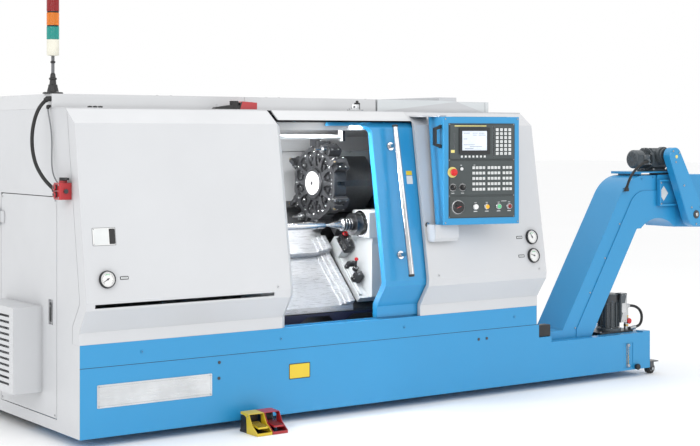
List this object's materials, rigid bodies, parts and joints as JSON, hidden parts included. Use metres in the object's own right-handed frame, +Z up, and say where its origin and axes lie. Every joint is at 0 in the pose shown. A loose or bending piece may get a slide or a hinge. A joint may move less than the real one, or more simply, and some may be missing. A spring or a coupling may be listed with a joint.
{
  "type": "cnc turning lathe",
  "caption": "Slant-bed CNC turning lathe with a sliding door, tool turret, tailstock, swivelling control panel, coolant tank and chip conveyor.",
  "frame": {"origin": "on the floor, under the middle of the whole machine's box", "axes": "+X along the spindle, from the chuck towards the tailstock and the chip conveyor; +Y from the operator's side to the back; +Z up"},
  "size_m": [4.711, 1.7618, 2.1612],
  "materials": {
    "light_grey_paint": "semi-gloss light grey enamel",
    "blue_paint": "semi-gloss blue enamel",
    "casting_grey": "satin grey casting paint",
    "dark_grey_paint": "satin dark grey enamel",
    "black_paint": "satin black enamel",
    "red_paint": "semi-gloss red enamel",
    "yellow_paint": "semi-gloss yellow enamel",
    "machined_steel": "ground and brushed",
    "dark_steel": "blackened, satin",
    "stainless": "fine brushed",
    "chrome": "polished",
    "cast_iron": "scraped",
    "safety_glass": "clear laminated",
    "black_plastic": "fine texture",
    "dark_grey_plastic": "fine texture",
    "red_plastic": "smooth",
    "lens_plastic": "clear, coloured green, amber and red",
    "black_rubber": "smooth sheath",
    "wheel_rubber": "solid castor tread"
  },
  "bodies": {
    "machine": {"bed": "cast_iron", "levelling_feet": "dark_steel", "skirt": "blue_paint", "coolant_tank": "blue_paint", "chip_trough": "dark_grey_paint", "casing": "light_grey_paint", "roof_cover": "light_grey_paint", "front_cover_left": "light_grey_paint", "front_cover_right": "light_grey_paint", "interior_liner": "light_grey_paint", "way_covers": "stainless", "headstock": "casting_grey", "power_box": "red_paint", "cable_glands": "black_plastic", "signal_tower": "black_plastic", "tower_lenses": "lens_plastic", "top_cabinet": "casting_grey", "interlock_switch": "black_plastic", "pressure_gauges": "chrome", "panel_bracket": "blue_paint", "conveyor_housing": "blue_paint", "conveyor_head": "blue_paint", "gear_motor": "dark_grey_paint", "chain_guard": "blue_paint", "coolant_pump": "dark_grey_paint", "pedal_base": "black_paint", "pedal_guards": "yellow_paint", "main_cable": "black_rubber", "signal_cable": "black_rubber", "motor_cable": "black_rubber", "pump_hose": "black_rubber"},
    "door": {"door_panel": "blue_paint", "door_window": "safety_glass", "door_handle": "chrome"},
    "service_door": {"service_door": "light_grey_paint"},
    "power_lever": {"power_lever": "black_plastic"},
    "control_panel": {"panel_housing": "blue_paint", "panel_face": "dark_grey_plastic", "panel_grip": "black_plastic"},
    "emergency_stop": {"emergency_stop": "red_plastic"},
    "feed_knob": {"feed_knob": "black_plastic"},
    "speed_knob": {"speed_knob": "black_plastic"},
    "handwheel": {"handwheel": "black_plastic"},
    "spindle": {"spindle_chuck": "dark_steel", "workpiece_bar": "machined_steel"},
    "jaw_1": {"chuck_jaw_1": "machined_steel"},
    "jaw_2": {"chuck_jaw_2": "machined_steel"},
    "jaw_3": {"chuck_jaw_3": "machined_steel"},
    "saddle": {"saddle": "cast_iron"},
    "cross_slide": {"cross_slide": "casting_grey"},
    "turret": {"turret_disc": "dark_steel", "tool_holders": "dark_steel"},
    "tailstock": {"tailstock_body": "casting_grey"},
    "quill": {"quill": "machined_steel"},
    "live_centre": {"live_centre": "machined_steel"},
    "clamp_lever": {"clamp_lever": "dark_steel"},
    "tank_wheel_front": {"tank_wheel_front": "wheel_rubber"},
    "tank_wheel_rear": {"tank_wheel_rear": "wheel_rubber"},
    "pedal_yellow": {"pedal_yellow": "yellow_paint"},
    "pedal_red": {"pedal_red": "red_paint"}
  },
  "joints": [
    {"name": "door_slide", "type": "slide", "parent": "machine", "child": "door", "axis": [-1, 0, 0], "range_m": [0, 0.61]},
    {"name": "service_door_hinge", "type": "hinge", "parent": "machine", "child": "service_door", "pos_m": [-2.2135, 0.33794, 0.6], "axis": [0, 0, -1], "range_deg": [0, 100]},
    {"name": "power_lever_turn", "type": "hinge", "parent": "machine", "child": "power_lever", "pos_m": [-2.2355, -0.50906, 1.268], "axis": [0, 0, -1], "range_deg": [0, 90]},
    {"name": "panel_swivel", "type": "hinge", "parent": "machine", "child": "control_panel", "pos_m": [-0.0845, -0.69406, 1.29], "axis": [0, 0, -1], "range_deg": [-14, 70]},
    {"name": "emergency_stop_press", "type": "slide", "parent": "control_panel", "child": "emergency_stop", "axis": [0.225, 0.9744, 0], "range_m": [0, 0.004], "stiffness_N_per_m": 2500, "springref_m": -0.001},
    {"name": "feed_knob_turn", "type": "hinge", "parent": "control_panel", "child": "feed_knob", "pos_m": [-0.07163, -0.78632, 1.20035], "axis": [0.225, 0.9744, 0], "range_deg": [-135, 135]},
    {"name": "speed_knob_turn", "type": "hinge", "parent": "control_panel", "child": "speed_knob", "pos_m": [-0.01478, -0.79944, 1.20035], "axis": [0.225, 0.9744, 0], "range_deg": [-135, 135]},
    {"name": "handwheel_turn", "type": "hinge", "parent": "control_panel", "child": "handwheel", "pos_m": [-0.04261, -0.79302, 1.09312], "axis": [0.225, 0.9744, 0], "continuous": true},
    {"name": "spindle_turn", "type": "hinge", "parent": "machine", "child": "spindle", "pos_m": [-1.3045, -0.31906, 0.99], "axis": [1, 0, 0], "continuous": true},
    {"name": "jaw_1_slide", "type": "slide", "parent": "spindle", "child": "jaw_1", "axis": [0, 0, 1], "range_m": [0, 0.004]},
    {"name": "jaw_2_slide", "type": "slide", "parent": "spindle", "child": "jaw_2", "axis": [0, -0.866, -0.5], "range_m": [0, 0.004]},
    {"name": "jaw_3_slide", "type": "slide", "parent": "spindle", "child": "jaw_3", "axis": [0, 0.866, -0.5], "range_m": [0, 0.004]},
    {"name": "saddle_slide", "type": "slide", "parent": "machine", "child": "saddle", "axis": [-1, 0, 0], "range_m": [0, 0.27]},
    {"name": "cross_slide_feed", "type": "slide", "parent": "saddle", "child": "cross_slide", "axis": [0, 0.7071, 0.7071], "range_m": [0, 0.1]},
    {"name": "turret_index", "type": "hinge", "parent": "cross_slide", "child": "turret", "pos_m": [-0.4745, -0.0942, 1.21486], "axis": [1, 0, 0], "continuous": true},
    {"name": "tailstock_slide", "type": "slide", "parent": "machine", "child": "tailstock", "axis": [1, 0, 0], "range_m": [0, 0.35]},
    {"name": "quill_slide", "type": "slide", "parent": "tailstock", "child": "quill", "axis": [1, 0, 0], "range_m": [0, 0.06]},
    {"name": "live_centre_turn", "type": "hinge", "parent": "quill", "child": "live_centre", "pos_m": [-0.4445, -0.31906, 0.99], "axis": [1, 0, 0], "continuous": true},
    {"name": "clamp_lever_turn", "type": "hinge", "parent": "tailstock", "child": "clamp_lever", "pos_m": [-0.3585, -0.26956, 0.72837], "axis": [0, -0.7071, 0.7071], "range_deg": [0, 60]},
    {"name": "tank_wheel_front_turn", "type": "hinge", "parent": "machine", "child": "tank_wheel_front", "pos_m": [1.6905, -0.57106, 0.032], "axis": [0, 1, 0], "continuous": true},
    {"name": "tank_wheel_rear_turn", "type": "hinge", "parent": "machine", "child": "tank_wheel_rear", "pos_m": [1.6905, -0.03906, 0.032], "axis": [0, 1, 0], "continuous": true},
    {"name": "pedal_yellow_press", "type": "hinge", "parent": "machine", "child": "pedal_yellow", "pos_m": [-1.3145, -0.72706, 0.042], "axis": [1, 0, 0], "range_deg": [0, 11], "stiffness_Nm_per_rad": 3, "springref_deg": -17.19},
    {"name": "pedal_red_press", "type": "hinge", "parent": "machine", "child": "pedal_red", "pos_m": [-1.2225, -0.72706, 0.042], "axis": [1, 0, 0], "range_deg": [0, 11], "stiffness_Nm_per_rad": 3, "springref_deg": -17.19}
  ],
  "couplings": [
    {"joint": "jaw_2_slide", "follows": "jaw_1_slide", "ratio": 1},
    {"joint": "jaw_3_slide", "follows": "jaw_1_slide", "ratio": 1}
  ]
}
